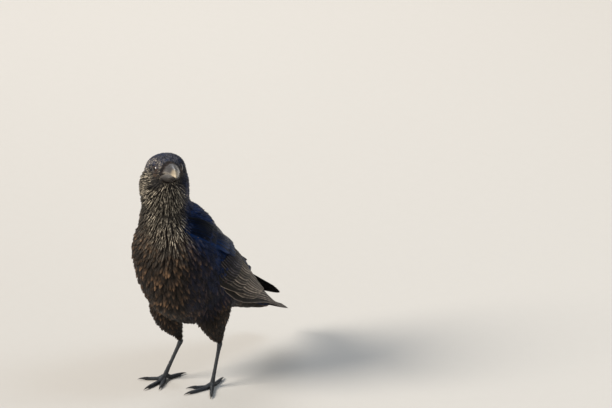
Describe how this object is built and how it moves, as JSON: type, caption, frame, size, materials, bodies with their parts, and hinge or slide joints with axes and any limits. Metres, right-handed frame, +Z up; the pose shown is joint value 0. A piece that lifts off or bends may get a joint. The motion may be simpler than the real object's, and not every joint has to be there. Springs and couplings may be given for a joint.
{
  "type": "carrion crow",
  "caption": "Still, life-size model of a standing black crow with its head turned to one side, wings folded over its tail and both feet flat on the floor.",
  "frame": {"origin": "on the floor, under the middle of the crow's bounding box", "axes": "+Z up, -Y the way the body faces, +X the crow's left"},
  "size_m": [0.146, 0.3232, 0.3761],
  "materials": {
    "plumage": "black contour feathers, satin with a blue-violet gloss, brown at the worn tips",
    "flight": "black flight feathers, satin, browner on the worn outer vanes",
    "bill": "dark grey horn, smooth, paler at the worn tip",
    "eye": "very dark brown, wet and glossy",
    "scales": "black horny scales, slightly glossy",
    "claw": "black horn, smooth"
  },
  "bodies": {
    "root": {"trunk": "plumage", "neck": "plumage", "head": "plumage", "bill_upper": "bill", "bill_lower": "bill", "eye_left": "eye", "eye_right": "eye", "wing_left": "flight", "wing_right": "flight", "tail": "flight", "thigh_left": "plumage", "thigh_right": "plumage", "shank_left": "scales", "shank_right": "scales", "toe_left_inner": "scales", "toe_left_middle": "scales", "toe_left_outer": "scales", "toe_left_hind": "scales", "toe_right_inner": "scales", "toe_right_middle": "scales", "toe_right_outer": "scales", "toe_right_hind": "scales", "claw_left_inner": "claw", "claw_left_middle": "claw", "claw_left_outer": "claw", "claw_left_hind": "claw", "claw_right_inner": "claw", "claw_right_middle": "claw", "claw_right_outer": "claw", "claw_right_hind": "claw"}
  },
  "joints": []
}
